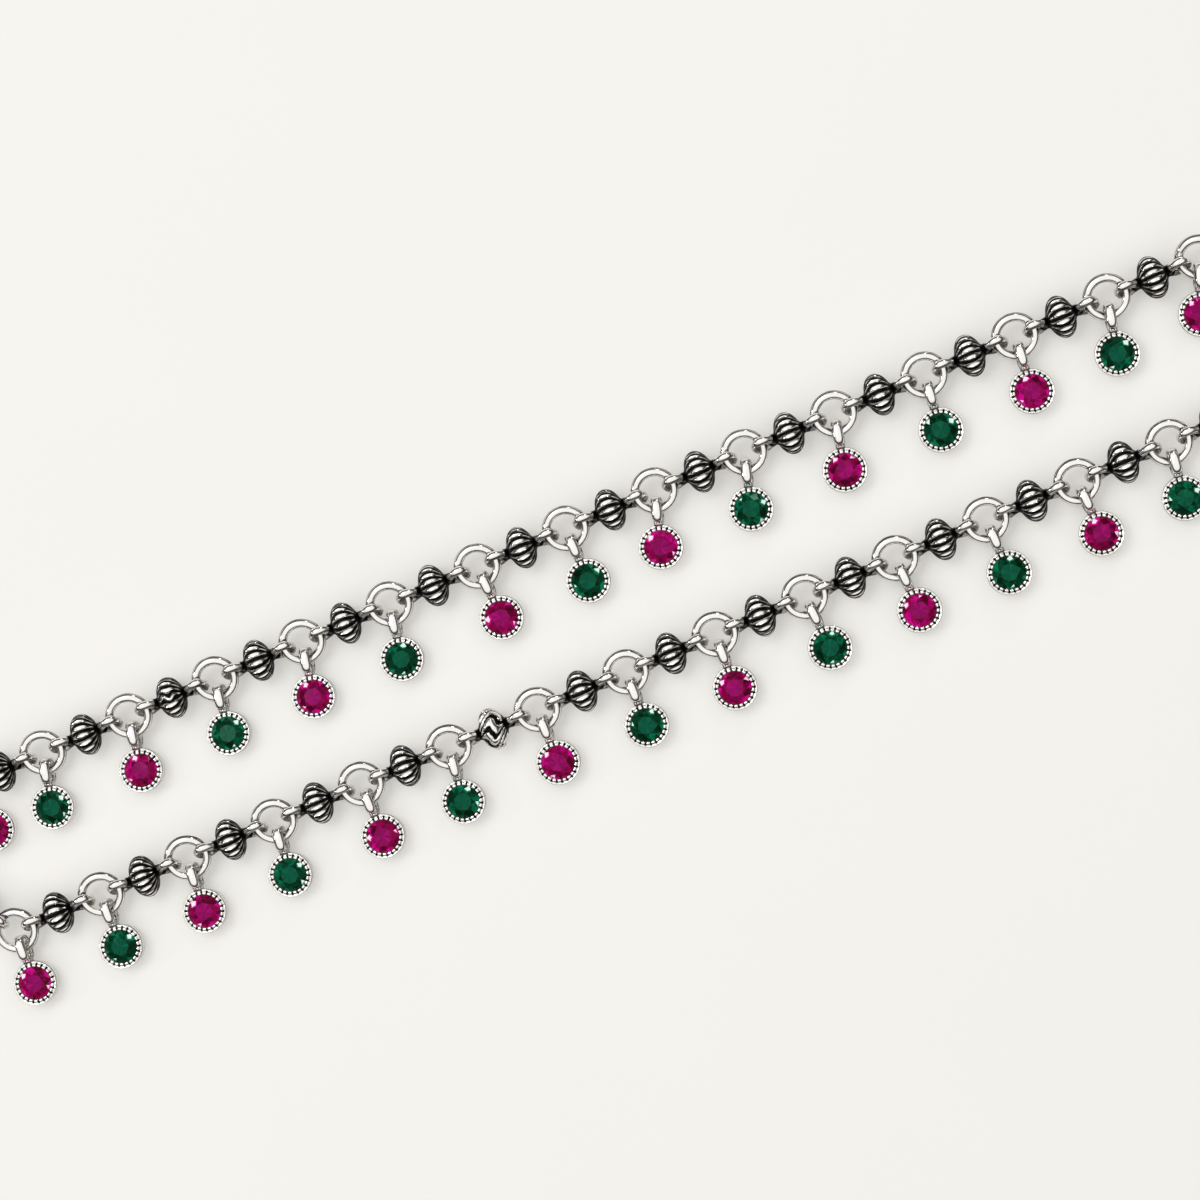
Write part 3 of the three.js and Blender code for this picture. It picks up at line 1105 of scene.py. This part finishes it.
@dataclass(frozen=True)
class CutGlass:
    """Round stone: an eight-sided table, eight stars, eight kites and sixteen girdle facets."""

    out: float = 3.171
    girdle: float = 1.47
    table: float = 0.78
    girdle_height: float = 1.5
    table_height: float = 1.93
    star: float = 1.08
    base_depth: float = 0.2
    table_play: Pair = (1.2, 3.0)
    table_fire: float = 0.55
    star_flash: float = 0.5
    kite_flash: float = 0.7
    girdle_flash: float = 0.95
    girdle_power: float = 1.3
    unevenness: float = 0.12
    glint_play: float = 22.0
    glint_flash: Pair = (2.2, 3.4)
    far_flash: float = 2.3

    def circle(self, angle: Array, radius: float, height: float) -> Array:
        """Points round the stone's axis, at one radius and height."""
        flat = [self.out + radius * np.cos(angle), radius * np.sin(angle), np.full(len(angle), height)]
        return np.stack(flat, 1)

    def facets(self, spin: float) -> Array:
        """The crown on a flat base.

        Args:
            spin: turn of the facets, in radians.

        Returns:
            (13, 8, 3, 3) corners of the triangles, by kind and by eighth. A point half way between two kites
            lies in both their planes, which sets its height.
        """
        eighth = np.arange(8) * np.pi / 4 + spin
        between = eighth + np.pi / 8
        slope = (self.table_height - self.girdle_height) / (self.girdle - self.table)
        star_height = self.table_height - (self.star * math.cos(np.pi / 8) - self.table) * slope
        down = [0.0, 0.0, self.base_depth]
        top = self.circle(eighth, self.table, self.table_height)
        star = self.circle(between, self.star, star_height)
        edge = self.circle(eighth, self.girdle, self.girdle_height)
        middle = self.circle(between, self.girdle, self.girdle_height)
        foot, foot_middle = edge - down, middle - down
        hub = self.circle(np.zeros(8), 0.0, self.table_height)
        base = self.circle(np.zeros(8), 0.0, self.girdle_height - self.base_depth)
        next_top, next_edge, next_foot = (np.roll(rows, -1, 0) for rows in (top, edge, foot))
        halves = (top + next_top) / 2
        triangles = [
            (hub, top, halves), (hub, halves, next_top),
            (top, star, next_top),
            (top, np.roll(star, 1, 0), edge), (top, edge, star),
            (star, edge, middle), (star, middle, next_edge),
            (edge, foot, foot_middle), (edge, foot_middle, middle),
            (middle, foot_middle, next_foot), (middle, next_foot, next_edge),
            (base, foot_middle, foot), (base, next_foot, foot_middle),
        ]
        return np.stack([np.stack(corners, 1) for corners in triangles])

    def shell(self, seed: int, glint: float) -> Shell:
        """The stone, each facet with corners of its own.

        Args:
            seed: number that the stone's turn and its facets' flashes grow from.
            glint: direction of the kite with its painted glint, in degrees from the drop's own line.

        Returns:
            Flat facets, each with a painted flash of light that is partly chance, and two painted glints.
            The table's flash is -1 and less.
        """
        chance = np.random.default_rng(seed)
        spin = chance.uniform(0.0, np.pi / 4)
        points = self.facets(spin)
        flash = np.zeros(points.shape[:3])
        flash[0:2] = -1.0 - self.table_fire * chance.beta(*self.table_play, (2, 8, 1))
        flash[2] = chance.uniform(0.0, self.star_flash, (8, 1))
        flash[3:5] = chance.uniform(0.0, self.kite_flash, (8, 1))
        flash[5:7] = chance.uniform(0.0, self.girdle_flash, (2, 8, 1)) ** self.girdle_power
        flash[2:7] += chance.normal(0.0, self.unevenness, flash.shape)[2:7]
        # Painted glints: one kite near the glint's direction and one girdle facet further round.
        way = math.radians(glint + chance.uniform(-self.glint_play, self.glint_play)) - spin
        lit = round(way / (np.pi / 4)) % 8
        flash[3, lit, 2] = flash[4, lit, 1] = chance.uniform(*self.glint_flash)
        flash[5, (lit + chance.integers(2, 7)) % 8, 0] = self.far_flash
        faces = np.arange(flash.size).reshape(-1, 3)
        no_quads = np.zeros((0, 4), int)
        corners = points.reshape(-1, 3)
        return outward(Shell(corners, no_quads, faces, np.zeros(flash.size), flash.ravel(), 1, False))


@dataclass(frozen=True)
class StoneDrop:
    """A drop: bail, neck, milgrain cup and cut stone in one piece."""

    number: int
    layout: Layout
    bail: Bail = Bail()
    neck: DropNeck = DropNeck()
    cup: MilgrainCup = MilgrainCup()
    glass: CutGlass = CutGlass()
    seed: int = 3
    seed_step: int = 7
    glints: Pair = (225.0, 135.0)

    @property
    def stone(self) -> Stone:
        """Colour of this drop's stone: they alternate along the chain."""
        return Stone.MAGENTA if self.number % 2 else Stone.GREEN

    def build(self) -> bpy.types.Object:
        """The drop under its ring.

        Returns:
            The drop's object.
        """
        place = self.layout.drop_places()[self.number - 1 : self.number]
        magenta_glint, green_glint = self.glints
        glint = magenta_glint if self.stone is Stone.MAGENTA else green_glint
        glass = self.glass.shell(self.number * self.seed_step + self.seed, glint)
        parts = [self.bail.shell(), self.neck.shell(), self.cup.shell(), glass]
        finishes = [BRIGHT.material(), STONES[self.stone].material()]
        return build_object(f"drop_{self.number:02d}_detailed", [p.placed(place) for p in parts], finishes)


@dataclass(frozen=True)
class ClaspHook:
    """S-shaped wire hook that closes the chain."""

    layout: Layout
    wire: float = 0.58
    solid_wire: float = 0.6
    clearance: float = 0.5
    ring_sides: int = 10
    loop_turns: tuple[float, ...] = (-140, -90, -45, 0, 45, 90, 140)
    end_share: float = 0.55
    end_rounding: Pair = (-0.05, 0.12)
    steps: int = 120
    around: int = 14

    def knots(self) -> Array:
        """Points that the S passes through: seven on each loop and one past each end.

        Returns:
            (16, 3) points in the XZ plane.
        """
        ring_wire = self.layout.ring_wire
        loop = (ring_wire + self.clearance + self.solid_wire) / 2
        ring_hole = (self.layout.ring_radius - ring_wire / 2) * math.cos(math.pi / self.ring_sides)
        tip = ring_hole - self.clearance / 2 - self.solid_wire / 2
        out = self.layout.pitch / 2 - tip - loop
        turns = np.radians(self.loop_turns)
        right = np.stack([out + loop * np.cos(turns), np.zeros(len(turns)), loop * np.sin(turns)], 1)
        knots = np.concatenate([right, (right * [-1, 1, -1])[::-1]])
        return np.concatenate([[2 * knots[0] - knots[1]], knots, [2 * knots[-1] - knots[-2]]])

    def build(self) -> bpy.types.Object:
        """The hook between the last ring of one run and the first of the other.

        Returns:
            Wire along a smooth S: each stretch from p1 to p2 is
            (2 p1 + (p2 - p0) u + (2 p0 - 5 p1 + 4 p2 - p3) u^2 + (3 p1 - p0 - 3 p2 + p3) u^3) / 2.
        """
        knots = self.knots()
        t = np.linspace(0.0, len(knots) - 3 - 1e-6, self.steps)
        at, u = t.astype(int), (t % 1.0)[:, None]
        p0, p1, p2, p3 = (knots[at + i] for i in range(4))
        square, cube = 2 * p0 - 5 * p1 + 4 * p2 - p3, 3 * p1 - p0 - 3 * p2 + p3
        path = (2 * p1 + (p2 - p0) * u + square * u**2 + cube * u**3) / 2
        rounded = smoothstep(*self.end_rounding, np.minimum(t, t[::-1]))
        radius = self.wire / 2 * (self.end_share + (1.0 - self.end_share) * rounded)
        made = tube(path, SIDEWAYS, radius, self.around)
        place = self.layout.span_places()[self.layout.rings_per_run : self.layout.rings_per_run + 1]
        return build_object("clasp_hook_detailed", [made.placed(place)], [BRIGHT.material()])


@dataclass(frozen=True)
class Softbox:
    """A square light that looks at the anklet's middle, in metres and watts."""

    name: str
    place: tuple[float, float, float]
    size: float
    power: float

    def hang(self) -> None:
        """Adds the light to the scene."""
        data = bpy.data.lights.new(self.name, "AREA")
        data.shape = "SQUARE"
        data.size = self.size
        data.energy = self.power
        lamp = bpy.data.objects.new(self.name, data)
        lamp.location = self.place
        lamp.rotation_mode = "QUATERNION"
        lamp.rotation_quaternion = Vector(self.place).to_track_quat("Z", "Y")
        bpy.context.scene.collection.objects.link(lamp)


@dataclass(frozen=True)
class Studio:
    """Pale floor, soft light and the camera, in metres and degrees."""

    target: tuple[float, float, float] = (0.00033, 0.00236, 0.0019)
    distance: float = 0.28846
    tilt: float = 6.0
    tilt_side: float = -23.0
    roll: float = 22.94
    lens: float = 100.0
    sensor: float = 36.0
    floor_reach: float = 3.0
    floor_colour: Colour = (0.586, 0.576, 0.556)
    floor_mottle: float = 0.985
    mottle_scale: float = 60.0
    mottle_detail: float = 5.0
    floor_roughness: float = 0.9
    floor_gloss: float = 0.1
    floor_glow: Colour = (1.0, 0.983, 0.938)
    floor_glow_strength: float = 0.295
    sky_strength: float = 1.19
    horizon: Colour = (0.03, 0.028, 0.026)
    horizon_place: float = 0.02
    zenith: Colour = (1.0, 0.995, 0.985)
    sky_levels: tuple[Pair, ...] = ((0.4, 0.05), (0.54, 0.42), (0.69, 0.98))
    sky_tint: Colour = (1.0, 0.94, 0.86)
    lamps: tuple[Softbox, ...] = (
        Softbox("key", (-0.13, 0.17, 0.50), 0.24, 0.66),
        Softbox("spark_left", (-0.42, 0.10, 0.22), 0.05, 0.15),
        Softbox("spark_right", (0.30, 0.42, 0.24), 0.05, 0.15),
    )

    def camera(self) -> None:
        """Camera nearly overhead, rolled so that the chain climbs to the right."""
        tilt, side, roll = (math.radians(a) for a in (self.tilt, self.tilt_side, self.roll))
        back = Vector((math.sin(tilt) * math.cos(side), math.sin(tilt) * math.sin(side), math.cos(tilt)))
        right = Vector((math.sin(roll), math.cos(roll), 0.0)).cross(back).normalized()
        up = back.cross(right)
        turn = Matrix((right, up, back)).transposed().to_4x4()
        data = bpy.data.cameras.new("camera")
        data.lens = self.lens
        data.sensor_width = self.sensor
        data.clip_start = 0.01
        data.clip_end = 10.0
        eye = bpy.data.objects.new("camera", data)
        eye.matrix_world = Matrix.Translation(Vector(self.target) + back * self.distance) @ turn
        bpy.context.scene.collection.objects.link(eye)
        bpy.context.scene.camera = eye

    def floor(self) -> None:
        """Wide pale sheet of paper under the anklet."""
        reach = self.floor_reach
        corners = [(-reach, -reach, 0), (reach, -reach, 0), (reach, reach, 0), (-reach, reach, 0)]
        mesh = bpy.data.meshes.new("floor")
        mesh.from_pydata(corners, [], [(0, 1, 2, 3)])
        made, make, shader = new_material("floor_paper")
        cloud = make.noise(make.place(), self.mottle_scale, self.mottle_detail)
        darker = [c * self.floor_mottle for c in self.floor_colour]
        values = {
            "Base Color": make.mix(cloud, self.floor_colour, darker),
            "Roughness": self.floor_roughness,
            "Specular IOR Level": self.floor_gloss,
            "Emission Color": self.floor_glow,
            "Emission Strength": self.floor_glow_strength,
        }
        make.feed(shader, values)
        mesh.materials.append(made)
        piece = bpy.data.objects.new("floor", mesh)
        bpy.context.scene.collection.objects.link(piece)

    def light(self) -> None:
        """A bright dome, darker and warmer towards the horizon, and three softboxes.

        A level v between them has the colour v * (tint + (1 - tint) * v).
        """
        world = bpy.data.worlds.new("studio")
        world.use_nodes = True
        bpy.context.scene.world = world
        make = Nodes(world.node_tree)
        way = make.add("ShaderNodeTexCoord", {}).outputs["Generated"]
        rise = make.add("ShaderNodeSeparateXYZ", {0: way}).outputs["Z"]
        ramp = make.add("ShaderNodeValToRGB", {0: rise})
        stops = ramp.color_ramp.elements
        stops[0].position = self.horizon_place
        stops[0].color = (*self.horizon, 1.0)
        stops[1].color = (*self.zenith, 1.0)
        for place, level in self.sky_levels:
            colour = [level * (tint + (1.0 - tint) * level) for tint in self.sky_tint]
            stops.new(place).color = (*colour, 1.0)
        dome = world.node_tree.nodes["Background"].inputs
        make.feed(dome, {"Color": ramp.outputs[0], "Strength": self.sky_strength})
        for lamp in self.lamps:
            lamp.hang()
        view = bpy.context.scene.view_settings
        view.view_transform = "Standard"
        view.look = "None"


def main() -> None:
    """Builds the anklet's pieces in order, and reports each one."""
    logging.basicConfig(level=logging.INFO, format="%(message)s")
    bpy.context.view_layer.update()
    layout = Layout()
    lower_first = layout.rings_per_run + 1
    upper = ChainRun("chain_upper_run", layout, 0, True, 1, {2: Relief.WAVY})
    lower = ChainRun("chain_lower_run", layout, lower_first, False, -1, {24: Relief.SCROLL})
    pieces = [(run.node, run.build(), METAL_SLOT) for run in (upper, lower)]
    for number in range(1, 2 * lower_first + 1):
        drop = StoneDrop(number, layout)
        pieces.append((f"drop_{number:02d}", drop.build(), drop.stone.value))
    pieces.append(("clasp_hook", ClaspHook(layout).build(), METAL_SLOT))
    for node, piece, slot in pieces:
        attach(piece, "root")
        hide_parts(node)
        log.info("%s: %d faces", piece.name, len(piece.data.polygons))
    studio = Studio()
    studio.floor()
    studio.camera()
    studio.light()


if __name__ == "__main__":
    main()
